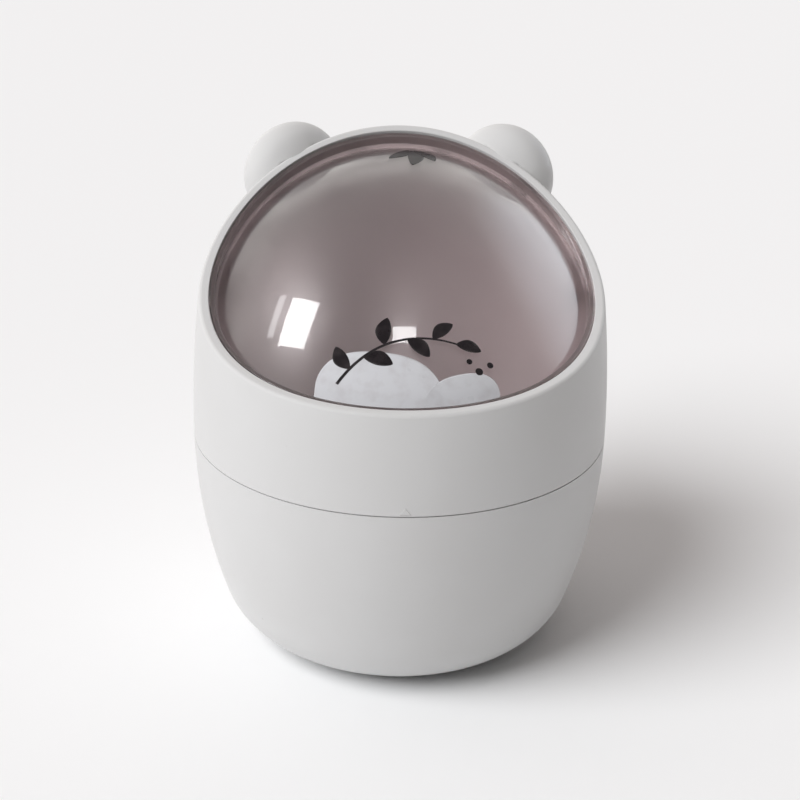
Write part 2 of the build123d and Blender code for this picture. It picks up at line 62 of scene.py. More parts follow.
ahead = Vector((
    -math.sin(CAMERA_TURN) * math.cos(CAMERA_ELEVATION),
    math.cos(CAMERA_TURN) * math.cos(CAMERA_ELEVATION),
    -math.sin(CAMERA_ELEVATION),
))
level_right = ahead.cross(Vector((0, 0, 1))).normalized()
level_up = level_right.cross(ahead)
camera_right = math.cos(CAMERA_ROLL) * level_right + math.sin(CAMERA_ROLL) * level_up
camera_up = math.cos(CAMERA_ROLL) * level_up - math.sin(CAMERA_ROLL) * level_right
camera_place = CAMERA_TARGET - CAMERA_DISTANCE * ahead
camera_data = bpy.data.cameras.new("camera")
camera_data.lens = CAMERA_LENS
camera_data.sensor_width = SENSOR_WIDTH
camera_data.clip_start = NEAREST_SEEN
camera = bpy.data.objects.new("camera", camera_data)
camera.matrix_world = Matrix((
    (camera_right.x, camera_up.x, -ahead.x, camera_place.x),
    (camera_right.y, camera_up.y, -ahead.y, camera_place.y),
    (camera_right.z, camera_up.z, -ahead.z, camera_place.z),
    (0, 0, 0, 1),
))
scene.collection.objects.link(camera)
scene.camera = camera
scene.view_settings.view_transform = "Standard"

# ---------------------------------------------------------------------------------------------
# Studio.  A pale seamless floor and a wide soft key from the front left, which draws the long
# shadow on the right, with a dim warm fill from above, left and behind.  Gloss sees a mottled
# room, bright round the horizon and dimmer above, with a pale glow at the right.
# ---------------------------------------------------------------------------------------------
FLOOR_HALF = 4.0
FLOOR_COLOUR = (0.926, 0.931, 0.935, 1)
BACKDROP_COLOUR = (0.885, 0.885, 0.885, 1)
FILL_FROM = (-0.28, 0.53, 0.80)
FILL_LOW = 0.05
FILL_HIGH = 0.60
FILL_COLOUR = (1.0, 0.93, 0.905, 1)
ROOM_COLOUR = (0.975, 0.960, 0.920, 1)
ROOM_HORIZON = 1.15
ROOM_CEILING = 0.15
ROOM_FADES = (0.15, 0.97)
MOTTLE_SCALE = 2.6
MOTTLE_SWING = (0.45, 1.45)
MOTTLE_MIDDLE = (0.35, 0.65)
GLOW_COLOUR = (0.90, 0.95, 1.0, 1)
GLOW_STRENGTH = 1.35
GLOW_EDGE = 0.84
GLOW_FROM = (0.74, 0.557, 0.375)
KEY_STRENGTH = 2.70
KEY_COLOUR = (0.98, 0.99, 1.0)
KEY_SOFTNESS = math.radians(41)
KEY_FROM = Vector((-0.612, -0.360, 0.704))
PANEL_GLOW = 14.0
WINDOW_AT = Vector((-0.738, 0.045, 1.066))
WINDOW_ACROSS = Vector((0.62, -0.633, 0.465))
WINDOW_SIZE = (0.25, 0.26)
SASH_AT = Vector((-0.855, 0.205, 0.962))
SASH_SIZE = (0.06, 0.22)
SASH_GLOW = 5.0
LAMP_AT = Vector((0.028, -0.277, 1.295))
LAMP_SIZE = (0.19, 0.095)


def feed(tree, socket, value):
    """Gives an input its value: a plain one is set on it, an output socket is joined to it."""
    if isinstance(value, bpy.types.NodeSocket):
        tree.links.new(value, socket)
    else:
        socket.default_value = value


def add_node(tree, kind, values):
    """A node, with the values of the inputs that are named."""
    made = tree.nodes.new(kind)
    for name, value in values.items():
        feed(tree, made.inputs[name], value)
    return made


def blend_values(tree, data_type, numbers, values):
    """Mixes two colours or two numbers. A mix node has inputs for every type of data, so they are
    given by number: the factor's, the first value's and the second's."""
    mix = tree.nodes.new("ShaderNodeMix")
    mix.data_type = data_type
    for number, value in zip(numbers, values):
        feed(tree, mix.inputs[number], value)
    return mix


def blend_colours(tree, factor, first, second):
    """The colour between two, by a factor."""
    return blend_values(tree, "RGBA", (0, 6, 7), (factor, first, second)).outputs[2]


def blend_numbers(tree, factor, first, second):
    """The number between two, by a factor."""
    return blend_values(tree, "FLOAT", (0, 2, 3), (factor, first, second)).outputs[0]


def blend_shaders(tree, factor, first, second):
    """One shader where the factor is 0 and another where it is 1."""
    mix = tree.nodes.new("ShaderNodeMixShader")
    for socket, value in zip(mix.inputs, (factor, first, second)):
        feed(tree, socket, value)
    return mix.outputs["Shader"]


def spread(tree, value, low, high, from_low, from_high, smooth=False):
    """Stretches one range of a value over another range."""
    made = add_node(tree, "ShaderNodeMapRange", {
        "Value": value,
        "From Min": from_low,
        "From Max": from_high,
        "To Min": low,
        "To Max": high,
    })
    if smooth:
        made.interpolation_type = "SMOOTHSTEP"
    return made.outputs["Result"]


def calculate(tree, operation, first, second):
    """One step of arithmetic on two values."""
    made = tree.nodes.new("ShaderNodeMath")
    made.operation = operation
    for socket, value in zip(made.inputs, (first, second)):
        feed(tree, socket, value)
    return made.outputs["Value"]


def noise(tree, place, scale, detail):
    """A soft three-dimensional noise, fixed to what the place is measured on."""
    return add_node(tree, "ShaderNodeTexNoise", {
        "Vector": place,
        "Scale": scale,
        "Detail": detail,
    }).outputs["Fac"]


def add_mesh(name, points, faces):
    """Puts an array of points and a list of faces into a new smooth mesh object."""
    mesh = bpy.data.meshes.new(name)
    mesh.from_pydata(np.asarray(points, float).reshape(-1, 3), [], faces)
    mesh.update()
    mesh.shade_smooth()
    piece = bpy.data.objects.new(name, mesh)
    scene.collection.objects.link(piece)
    return piece


def new_paint(name):
    """An empty node material and its tree."""
    paint = bpy.data.materials.new(name)
    paint.use_nodes = True
    paint.node_tree.nodes.clear()
    return paint, paint.node_tree


corners = FLOOR_HALF * np.array([(-1, -1, 0), (1, -1, 0), (1, 1, 0), (-1, 1, 0)])
floor = add_mesh("floor", corners, [(0, 1, 2, 3)])
floor_paint, tree = new_paint("floor_paint")
matt = add_node(tree, "ShaderNodeBsdfDiffuse", {"Color": FLOOR_COLOUR})
add_node(tree, "ShaderNodeOutputMaterial", {"Surface": matt.outputs["BSDF"]})
floor.data.materials.append(floor_paint)

surround = bpy.data.worlds.new("surround")
scene.world = surround
surround.use_nodes = True
tree = surround.node_tree
tree.nodes.clear()
rays = tree.nodes.new("ShaderNodeLightPath")
sky_way = tree.nodes.new("ShaderNodeTexCoord").outputs["Generated"]


def facing(tree, direction, way):
    """How nearly a direction of the sky points along a given way: 1 along it, 0 across it."""
    made = tree.nodes.new("ShaderNodeVectorMath")
    made.operation = "DOT_PRODUCT"
    for socket, value in zip(made.inputs, (direction, way)):
        feed(tree, socket, value)
    return made.outputs["Value"]


above_and_behind = facing(tree, sky_way, FILL_FROM)
fill = spread(tree, above_and_behind, FILL_LOW, FILL_HIGH, 0.0, 1.0, smooth=True)
to_the_glow = facing(tree, sky_way, GLOW_FROM)
glow = spread(tree, to_the_glow, 0.0, GLOW_STRENGTH, GLOW_EDGE, 1.0, smooth=True)
upwards = facing(tree, sky_way, (0, 0, 1))
walls = spread(tree, upwards, ROOM_HORIZON, ROOM_CEILING, *ROOM_FADES, smooth=True)
clutter = noise(tree, sky_way, MOTTLE_SCALE, detail=2.0)
room = calculate(tree, "MULTIPLY", walls, spread(tree, clutter, *MOTTLE_SWING, *MOTTLE_MIDDLE))
room_colour = blend_colours(tree, glow, ROOM_COLOUR, GLOW_COLOUR)
room_glow = calculate(tree, "ADD", room, glow)
mirrored = rays.outputs["Is Glossy Ray"]
sky = add_node(tree, "ShaderNodeBackground", {
    "Color": blend_colours(tree, mirrored, FILL_COLOUR, room_colour),
    "Strength": blend_numbers(tree, mirrored, fill, room_glow),
})
backdrop = add_node(tree, "ShaderNodeBackground", {"Color": BACKDROP_COLOUR, "Strength": 1.0})
seen, seen_through = rays.outputs["Is Camera Ray"], rays.outputs["Is Transmission Ray"]
shown = calculate(tree, "MAXIMUM", seen, seen_through)
add_node(tree, "ShaderNodeOutputWorld", {
    "Surface": blend_shaders(
        tree, shown, sky.outputs["Background"], backdrop.outputs["Background"]
    ),
})

key_data = bpy.data.lights.new("key", "SUN")
key_data.energy = KEY_STRENGTH
key_data.color = KEY_COLOUR
key_data.angle = KEY_SOFTNESS
key = bpy.data.objects.new("key", key_data)
key.rotation_euler = KEY_FROM.to_track_quat("Z", "Y").to_euler()
key.visible_glossy = False
key.visible_transmission = False
scene.collection.objects.link(key)


def reflected_panel(name, place, across, size, glow):
    """A lit rectangle that faces the bin and shows only as a reflection in the dome. Its power
    goes with its area, so that the glow is how bright it looks."""
    data = bpy.data.lights.new(name, "AREA")
    data.shape = "RECTANGLE"
    data.size, data.size_y = size
    data.energy = glow * math.pi * data.size * data.size_y
    away = (place - CAMERA_TARGET).normalized()
    level = (across - across.dot(away) * away).normalized()
    upright = away.cross(level)
    panel = bpy.data.objects.new(name, data)
    turned = Matrix((level, upright, away)).transposed().to_4x4()
    panel.matrix_world = Matrix.Translation(place) @ turned
    panel.visible_diffuse = False
    panel.light_linking.receiver_collection = glossy_only
    scene.collection.objects.link(panel)


glossy_only = bpy.data.collections.new("shows_the_panels")
glossy_only.objects.link(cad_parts["dome_lid"])
reflected_panel("window_panel", WINDOW_AT, WINDOW_ACROSS, WINDOW_SIZE, PANEL_GLOW)
reflected_panel("sash_panel", SASH_AT, WINDOW_ACROSS, SASH_SIZE, SASH_GLOW)
reflected_panel("ceiling_lamp", LAMP_AT, Vector((1, 0, 0)), LAMP_SIZE, PANEL_GLOW)

# ---------------------------------------------------------------------------------------------
# Lower bucket.  A white polypropylene bowl, injection moulded through the middle of its base,
# satin all over, with the faint clouding of the melt and a few handling specks.  Its neck goes
# up inside the housing.
# ---------------------------------------------------------------------------------------------
WHITE = (0.665, 0.664, 0.663, 1)
WHITE_CLOUD = (0.642, 0.638, 0.634, 1)
SPECK = (0.45, 0.42, 0.39, 1)
WHITE_ROUGH = 0.40
WHITE_GRAIN = (2400.0, 0.00002)
NOISE_MIDDLE = (0.3, 0.7)  # most of a noise lies between these
CLOUD_SCALE = 22.0
SPECK_CELLS = 95.0  # a speck may lie in the middle of each cell
SPECK_DEPTH = 0.8
SPECK_EDGE = (0.02, 0.045)
HANDLED_SCALE = 31.0  # specks show only where the piece was handled
HANDLED_EDGE = (0.62, 0.66)
GLOSS_SCALE = 55.0
GLOSS_SWING = (-0.05, 0.06)
GRAIN_STRENGTH = 0.25
PLASTIC_IOR = 1.49


def uneven(tree, middle, swing, place, scale, detail):
    """Roughness that wanders about its middle value by a swing either way."""
    low, high = middle + swing[0], middle + swing[1]
    return spread(tree, noise(tree, place, scale, detail), low, high, *NOISE_MIDDLE)


def moulding(name, colour, cloud, rough, grain):
    """Moulded plastic: clouded colour, sparse specks, uneven gloss and the fine grain of a
    spark-eroded mould, which is given as its scale and its height."""
    paint, tree = new_paint(name)
    place = tree.nodes.new("ShaderNodeTexCoord").outputs["Object"]
    clouds = noise(tree, place, CLOUD_SCALE, detail=3.0)
    cloudy = spread(tree, clouds, 0, 1, *NOISE_MIDDLE)
    cells = add_node(tree, "ShaderNodeTexVoronoi", {"Vector": place, "Scale": SPECK_CELLS})
    speck = spread(tree, cells.outputs["Distance"], SPECK_DEPTH, 0.0, *SPECK_EDGE)
    handling = noise(tree, place, HANDLED_SCALE, detail=1.0)
    handled = spread(tree, handling, 0, 1, *HANDLED_EDGE)
    bump = add_node(tree, "ShaderNodeBump", {
        "Strength": GRAIN_STRENGTH,
        "Distance": grain[1],
        "Height": noise(tree, place, grain[0], detail=2.0),
    })
    shader = add_node(tree, "ShaderNodeBsdfPrincipled", {
        "Base Color": blend_colours(
            tree,
            calculate(tree, "MULTIPLY", speck, handled),
            blend_colours(tree, cloudy, colour, cloud),
            SPECK,
        ),
        "Roughness": uneven(tree, rough, GLOSS_SWING, place, GLOSS_SCALE, detail=4.0),
        "Normal": bump.outputs["Normal"],
        "IOR": PLASTIC_IOR,
    })
    add_node(tree, "ShaderNodeOutputMaterial", {"Surface": shader.outputs["BSDF"]})
    return paint


def paint_nodes(paint, *names):
    """Gives solids of the frame one finish, in place of the slots they came with."""
    for name in names:
        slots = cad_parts[name].data.materials
        slots.clear()
        slots.append(paint)


white_plastic = moulding("white_plastic", WHITE, WHITE_CLOUD, WHITE_ROUGH, WHITE_GRAIN)
paint_nodes(white_plastic, "lower_bucket")

# ---------------------------------------------------------------------------------------------
# Foot ring.  Soft grey elastomer pressed into the groove under the base, matt and slightly
# tacky, so it is dusty and shows a coarse grain.
# ---------------------------------------------------------------------------------------------
RUBBER = (0.42, 0.42, 0.42, 1)
RUBBER_DUST = (0.36, 0.355, 0.35, 1)
RUBBER_ROUGH = 0.75
RUBBER_GRAIN = (1500.0, 0.00006)

soft_rubber = moulding("soft_rubber", RUBBER, RUBBER_DUST, RUBBER_ROUGH, RUBBER_GRAIN)
paint_nodes(soft_rubber, "foot_ring")

# ---------------------------------------------------------------------------------------------
# Upper housing.  The same white plastic as the bucket, moulded with its raked lip upwards; the
# gate, a small nub where the plastic came in, is left on the lip's edge at the back.
# ---------------------------------------------------------------------------------------------
paint_nodes(white_plastic, "upper_housing")

GATE_PLACE = (0.0, 0.0594, 0.1619)
GATE_RADIUS = 0.0006
GATE_HEIGHT = 0.00025
GATE_FACES = Vector((0.0, -0.63, 0.776))


def skin_with_poles(rows, columns):
    """Faces for a closed skin: a grid of points that wraps round its columns, then one point
    that closes its first row and one that closes its last."""
    number = np.arange(rows * columns).reshape(rows, columns)
    beside = np.roll(number, -1, axis=1)
    skin = np.stack((number[:-1], number[1:], beside[1:], beside[:-1]), axis=-1)
    first = np.full(columns, rows * columns)
    last = first + 1
    start = np.stack((first, number[0], beside[0]), axis=-1)
    end = np.stack((last, beside[-1], number[-1]), axis=-1)
    return skin.reshape(-1, 4).tolist() + start.tolist() + end.tolist()


def moulded_button(centre, facing_way, radius, height, rows=8, columns=24):
    """A low round button: at an angle t from its top, its radius goes as sin t and its height as
    cos t, and a flat bottom closes it."""
    facing_way = facing_way.normalized()
    level = Vector((1, 0, 0))
    upright = facing_way.cross(level)
    tilt = np.linspace(0.0, 0.5 * np.pi, rows + 1)[1:, None]
    turn = np.linspace(0.0, 2 * np.pi, columns, endpoint=False)[None, :]
    local = np.stack((
        radius * np.sin(tilt) * np.cos(turn),
        radius * np.sin(tilt) * np.sin(turn),
        height * np.cos(tilt) + 0 * turn,
    ), axis=-1).reshape(-1, 3)
    local = np.vstack((local, (0, 0, height), (0, 0, 0)))
    points = local @ np.array((level, upright, facing_way)) + np.array(centre)
    return points, skin_with_poles(rows, columns)


nub = moulded_button(GATE_PLACE, GATE_FACES, GATE_RADIUS, GATE_HEIGHT)
gate_mark = add_mesh("gate_mark", *nub)
gate_mark.data.materials.append(white_plastic)
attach(gate_mark, "housing")

# ---------------------------------------------------------------------------------------------
# Ears and their screws.  Two hollow white pebbles that hug the housing's wall and reach a little
# over its lip.  One steel pan-head screw with a cross recess holds each from inside.
# ---------------------------------------------------------------------------------------------
STEEL = (0.74, 0.73, 0.71, 1)
STEEL_DULL = (0.60, 0.59, 0.57, 1)
STEEL_ROUGH = 0.3
STEEL_SHINE_SCALE = 300.0
STEEL_SHINE_SWING = (-0.08, 0.1)
STREAK_STRETCH = (9.0, 1.0, 1.0)
STREAK_SCALE = 700.0
STREAK_STRENGTH = 0.3
STREAK_HEIGHT = 0.00001


def bright_metal(name, rough):
    """Drawn or turned steel: fine streaks round the piece and a little unevenness in its shine."""
    paint, tree = new_paint(name)
    place = tree.nodes.new("ShaderNodeTexCoord").outputs["Object"]
    stretch = add_node(tree, "ShaderNodeMapping", {"Vector": place, "Scale": STREAK_STRETCH})
    streak = noise(tree, stretch.outputs["Vector"], STREAK_SCALE, detail=3.0)
    bump = add_node(tree, "ShaderNodeBump", {
        "Strength": STREAK_STRENGTH,
        "Distance": STREAK_HEIGHT,
        "Height": streak,
    })
    shader = add_node(tree, "ShaderNodeBsdfPrincipled", {
        "Base Color": blend_colours(
            tree, spread(tree, streak, 0, 1, *NOISE_MIDDLE), STEEL, STEEL_DULL
        ),
        "Metallic": 1.0,
        "Roughness": uneven(
            tree, rough, STEEL_SHINE_SWING, place, STEEL_SHINE_SCALE, detail=2.0
        ),
        "Normal": bump.outputs["Normal"],
    })
    add_node(tree, "ShaderNodeOutputMaterial", {"Surface": shader.outputs["BSDF"]})
    return paint


steel = bright_metal("steel", STEEL_ROUGH)
paint_nodes(steel, "ear_screw_left", "ear_screw_right")

BODY_RADIUS = 0.070
JOINT_Z = 0.074
HOUSING_ARC = 0.385
LIP_FRONT_Y = -0.06858
LIP_FRONT_Z = 0.107
LIP_SLOPE = 0.0773
LIP_CURVE = 2.9
EAR_AZIMUTH = math.radians(57.6)
EAR_Z = 0.145
EAR_OUT = 0.007
EAR_ALONG = 0.014
EAR_ACROSS = 0.01879
EAR_CORNER = 0.0106
EAR_FIT = 0.00005
LIP_ROUND = 0.0009


def housing_wall(z):
    """The housing's outside radius: a long arc that falls inwards above the joint."""
    return BODY_RADIUS - HOUSING_ARC + np.sqrt(HOUSING_ARC**2 - (z - JOINT_Z) ** 2)


def lip_height(y):
    """The lip's height: a parabola that rises towards the back, steeper all the way."""
    behind = y - LIP_FRONT_Y
    return LIP_FRONT_Z + LIP_SLOPE * behind + LIP_CURVE * behind**2


def ear_cap(side, rows=90, columns=120):
    """A pebble that hugs the wall: its section is two flat caps and two round corners, three
    arcs that meet smoothly, turned about the line that points out of the bin. Where it would
    enter the wall below the lip, each point is moved straight out to the wall's own radius."""
    hub = EAR_ACROSS - EAR_CORNER
    lead = EAR_ALONG - EAR_CORNER
    shift = (hub**2 - lead**2) / (2 * lead)
    cap = EAR_ALONG + shift
    corner_start = math.atan2(hub, shift)
    tilt = np.linspace(0, np.pi, rows + 2)
    on_corner = (tilt > corner_start) & (tilt < np.pi - corner_start)
    reach = np.where(on_corner, EAR_CORNER, cap)
    out = reach * np.cos(tilt) - np.where(on_corner, 0, shift * np.sign(np.cos(tilt)))
    off = reach * np.sin(tilt) + np.where(on_corner, hub, 0)
    way = np.array((side * math.cos(EAR_AZIMUTH), math.sin(EAR_AZIMUTH), 0))
    level = np.cross((0, 0, 1), way)
    turn = np.linspace(0, 2 * np.pi, columns, endpoint=False)
    spoke = np.cos(turn)[:, None] * level + np.sin(turn)[:, None] * np.array((0, 0, 1))
    points = (out[:, None] * way)[:, None, :] + off[:, None, None] * spoke
    points += (housing_wall(EAR_Z) + EAR_OUT) * way + np.array((0, 0, EAR_Z))
    points = np.vstack((points[1:-1].reshape(-1, 3), points[0, :1], points[-1, :1]))
    distance = np.hypot(points[:, 0], points[:, 1])
    seat = housing_wall(points[:, 2]) + EAR_FIT
    pressed = (distance < seat) & (points[:, 2] < lip_height(points[:, 1]) - LIP_ROUND)
    points[:, :2] *= np.where(pressed, seat / distance, 1)[:, None]
    return points, skin_with_poles(rows, columns)


for word, side in (("right", 1), ("left", -1)):
    ear = add_mesh(f"ear_cap_{word}", *ear_cap(side))
    ear.data.materials.append(white_plastic)
    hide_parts(f"ear_{word}")
    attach(ear, "housing")

# ---------------------------------------------------------------------------------------------
# Collar, bumpers and bushes.  The collar is a white ring that snaps into the housing; four soft
# pads sit on its ledge, and an acetal sleeve is pressed into each pivot boss.
# ---------------------------------------------------------------------------------------------
ACETAL = (0.66, 0.655, 0.62, 1)
ACETAL_CLOUD = (0.62, 0.61, 0.57, 1)
ACETAL_ROUGH = 0.33
ACETAL_GRAIN = (1800.0, 0.00001)

acetal = moulding("acetal", ACETAL, ACETAL_CLOUD, ACETAL_ROUGH, ACETAL_GRAIN)
paint_nodes(white_plastic, "lid_collar")
paint_nodes(soft_rubber, *(f"lid_bumper_{number}" for number in range(1, 5)))
paint_nodes(acetal, "pivot_bush_left", "pivot_bush_right")

# ---------------------------------------------------------------------------------------------
# Dome lid.  One clear smoky polystyrene moulding: a slightly hazy body under a polished skin with
# hairline scratches.  The band round its rim is painted darker than the thin dome: partly for the
# upstand seen edge on, through more plastic, and partly as painted shade in the gutter by the lip.
# ---------------------------------------------------------------------------------------------
SMOKE = (0.705, 0.618, 0.625, 1)
SMOKE_TO_LAMPS = (0.805, 0.748, 0.752, 1)
# Painted shade: the rim band's darker smoke, partly for thicker plastic seen edge on, partly for
# the shade in the gutter.
SMOKE_RIM_SHADE = (0.50, 0.43, 0.43, 1)
RIM_SHADE_INSET = (0.0052, 0.0060)
SMOKE_HAZE = 0.315
HAZE_SWING = 0.02
HAZE_SCALE = 40.0
HAZE_MIDDLE = (0.1, 0.9)
POLISH = 0.02
SCRATCH_HEIGHT = 0.000004
SCRATCH_STRENGTH = 0.3
SCRATCH_SCALE = 160.0
SCRATCH_TURN = (0.0, 0.0, 0.6)
SCRATCH_STRETCH = (14.0, 0.7, 0.7)

smoky_clear, tree = new_paint("smoky_clear")
place = tree.nodes.new("ShaderNodeTexCoord").outputs["Object"]
scratch_way = add_node(tree, "ShaderNodeMapping", {
    "Vector": place,
    "Rotation": SCRATCH_TURN,
    "Scale": SCRATCH_STRETCH,
})
scratches = noise(tree, scratch_way.outputs["Vector"], SCRATCH_SCALE, detail=2.0)
bump = add_node(tree, "ShaderNodeBump", {
    "Strength": SCRATCH_STRENGTH,
    "Distance": SCRATCH_HEIGHT,
    "Height": scratches,
})

# How far a point is inside the housing's outside: that wall's radius at its height, by the same
# arc as housing_wall, less the point's own radius. The band nearest the wall gets painted shade.
spot = add_node(tree, "ShaderNodeSeparateXYZ", {"Vector": place}).outputs
x_squared = calculate(tree, "POWER", spot["X"], 2)
y_squared = calculate(tree, "POWER", spot["Y"], 2)
radius = calculate(tree, "SQRT", calculate(tree, "ADD", x_squared, y_squared), 0)
above_joint = calculate(tree, "SUBTRACT", spot["Z"], JOINT_Z)
arc_squared = calculate(tree, "SUBTRACT", HOUSING_ARC**2, calculate(tree, "POWER", above_joint, 2))
arc = calculate(tree, "SQRT", arc_squared, 0)
wall = calculate(tree, "ADD", arc, BODY_RADIUS - HOUSING_ARC)
inset = calculate(tree, "SUBTRACT", wall, radius)
# Painted shade: 0 on the band round the rim, which takes the darker smoke, and 1 on the thin dome.
clear_of_rim_shade = spread(tree, inset, 0, 1, *RIM_SHADE_INSET, smooth=True)

cloudiness = noise(tree, place, HAZE_SCALE, detail=1.0)
clearest, haziest = SMOKE_HAZE - HAZE_SWING, SMOKE_HAZE + HAZE_SWING
clear = add_node(tree, "ShaderNodeBsdfPrincipled", {
    "Base Color": blend_colours(tree, clear_of_rim_shade, SMOKE_RIM_SHADE, SMOKE),
    "Transmission Weight": 1.0,
    "Roughness": spread(tree, cloudiness, clearest, haziest, *HAZE_MIDDLE, smooth=True),
    "IOR": PLASTIC_IOR,
    "Coat Weight": 1.0,
    "Coat Roughness": POLISH,
    "Coat IOR": PLASTIC_IOR,
    "Coat Normal": bump.outputs["Normal"],
})
passing = add_node(tree, "ShaderNodeBsdfTransparent", {"Color": SMOKE_TO_LAMPS})
shaded = tree.nodes.new("ShaderNodeLightPath").outputs["Is Shadow Ray"]
add_node(tree, "ShaderNodeOutputMaterial", {
    "Surface": blend_shaders(tree, shaded, clear.outputs["BSDF"], passing.outputs["BSDF"]),
})
paint_nodes(smoky_clear, "dome_lid")

# ---------------------------------------------------------------------------------------------
# Printed decoration.  Pad-printed ink on the outside of the dome: two white hills that rise from
# the gutter, a black sprig of leaves over them, and a small trefoil near the dome's top.  The
# patterns are drawn flat, in millimetres and degrees, as they lie on the pad.
# ---------------------------------------------------------------------------------------------
DOME_CENTRE = np.array((0.0, 0.0061, 0.0394))
DOME_LEAN = math.radians(39.2)
DOME_ALONG = 0.1317
DOME_ACROSS = 0.0937
DOME_AXIS = np.array((0.0, math.sin(DOME_LEAN), math.cos(DOME_LEAN)))
INK_COAT = 0.00005
FILM_THICKNESS = 0.8  # of a coat, so that the second coat clears the first
FRONT_PAD = (np.array((0.0, -0.046, 0.120)), np.array((0.0, -0.66, 0.751)))
TOP_PAD = (np.array((0.0038, 0.0485, 0.157)), np.array((0.0, 0.08, 0.997)))
PAD_START = 0.05
MM = 0.001
GUTTER_FOOT = -22.3
GUTTER_RISE = 0.0081
HILL_POWER = 2.3
HILL_EDGE = 0.05
LEAF_POWER = 0.75
LEAF_EDGE = 0.04
LEAF_BEND = 0.08
STEM_FOOT = 1.25
STEM_TIP = 0.75


def on_dome(pad, across, up, lift):
    """Drops a flat pattern onto the dome: each point goes along the pad's own direction to where
    it meets the egg-shaped surface, whose half axes are grown by the lift."""
    place, way = pad
    sideways = np.array((1.0, 0.0, 0.0))
    upwards = np.cross(way, sideways)
    start = place + PAD_START * way + across[..., None] * sideways + up[..., None] * upwards
    long_way, short_way = DOME_ALONG + lift, DOME_ACROSS + lift
    stretch = np.eye(3) / short_way**2
    stretch += np.outer(DOME_AXIS, DOME_AXIS) * (1 / long_way**2 - 1 / short_way**2)
    offset = start - DOME_CENTRE
    a = way @ stretch @ way
    b = -2 * offset @ stretch @ way
    c = np.einsum("...i,ij,...j", offset, stretch, offset) - 1
    distance = (-b - np.sqrt(b * b - 4 * a * c)) / (2 * a)
    return start - distance[..., None] * way


def ink_film(name, pad, patches, ink, coat):
    """A closed thin film for each patch of a print: the same grid twice, nearly a coat apart,
    with a wall round its edge. The second coat lies over the first."""
    points, faces, used = [], [], 0
    for across, up in patches:
        rows, columns = across.shape
        size = rows * columns
        number = used + np.arange(size).reshape(rows, columns)
        for lift in (coat, coat - FILM_THICKNESS):
            points.append(on_dome(pad, across * MM, up * MM, lift * INK_COAT).reshape(-1, 3))
        over = np.stack((
            number[:-1, :-1], number[:-1, 1:], number[1:, 1:], number[1:, :-1]
        ), axis=-1).reshape(-1, 4)
        edge = np.concatenate((
            number[0, :-1], number[:-1, -1], number[-1, :0:-1], number[:0:-1, 0]
        ))
        after = np.roll(edge, -1)
        wall = np.stack((edge, edge + size, after + size, after), axis=-1)
        faces += over.tolist() + (over[:, ::-1] + size).tolist() + wall.tolist()
        used += 2 * size
    film = add_mesh(name, np.concatenate(points), faces)
    film.data.materials.append(ink)
    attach(film, "lid")


def hill(centre, width, height, columns=90, rows=24):
    """A rounded hill: its foot follows the gutter, a parabola. Over it stands half a superellipse,
    where the powers of the way across and of the height add up to one."""
    way = np.linspace(-1, 1, columns)[None, :]
    level = np.linspace(0, 1, rows)[:, None]
    across = centre + 0.5 * width * way + 0 * level
    top = (1 - np.abs(way) ** HILL_POWER) ** (1 / HILL_POWER)
    foot = GUTTER_FOOT + GUTTER_RISE * across**2
    return across, foot + level * np.maximum(height * top, HILL_EDGE)


def leaf(x, y, length, width, angle, columns=24, rows=9):
    """A pointed leaf: its half width goes as the sine of the way along it, to a power, and its
    middle line bows to one side by the same sine."""
    along = np.linspace(0, 1, columns)[None, :]
    side = np.linspace(-1, 1, rows)[:, None]
    half = 0.5 * width * np.sin(math.pi * along) ** LEAF_POWER + LEAF_EDGE
    bend = LEAF_BEND * length * np.sin(math.pi * along)
    u = length * along + 0 * side
    v = side * half + bend
    cosine, sine = math.cos(math.radians(angle)), math.sin(math.radians(angle))
    return x + u * cosine - v * sine, y + u * sine + v * cosine


def stem(points, thickness, columns=60):
    """A drawn line along a quadratic curve with three handles, its thickness tapering evenly
    from its foot to its tip."""
    first, middle, last = np.array(points, float)
    t = np.linspace(0, 1, columns)[:, None]
    line = (1 - t) ** 2 * first + 2 * t * (1 - t) * middle + t**2 * last
    way = np.gradient(line, axis=0)
    way /= np.linalg.norm(way, axis=1)[:, None]
    half = 0.5 * thickness * (STEM_FOOT + (STEM_TIP - STEM_FOOT) * t)
    side = np.array((-1.0, 0.0, 1.0))[:, None]
    across = line[:, 0] - side * half[:, 0] * way[:, 1]
    up = line[:, 1] + side * half[:, 0] * way[:, 0]
    return across, up


def dot(x, y, radius, steps=13):
    """A disc: a square grid pressed round, each way narrowed by the root of one less half the
    square of the other, so that no cell of it closes up."""
    s = np.linspace(-1, 1, steps)[None, :] + np.zeros((steps, 1))
    t = s.T
    return x + radius * s * np.sqrt(1 - t * t / 2), y + radius * t * np.sqrt(1 - s * s / 2)


WHITE_INK = (0.62, 0.625, 0.65, 1)
WHITE_INK_THIN = (0.54, 0.53, 0.55, 1)
WHITE_INK_ROUGH = 0.32
BLACK_INK = (0.012, 0.009, 0.011, 1)
BLACK_INK_THIN = (0.035, 0.028, 0.030, 1)
BLACK_INK_ROUGH = 0.30
INK_IOR = 1.5
PEEL_SCALE = 1400.0
PEEL_HEIGHT = 0.00001
PEEL_STRENGTH = 0.2
PINHOLE_SCALE = 260.0
PINHOLE_EDGE = (0.45, 0.8)
INK_SHINE_SCALE = 90.0
INK_SHINE_SWING = (-0.06, 0.08)


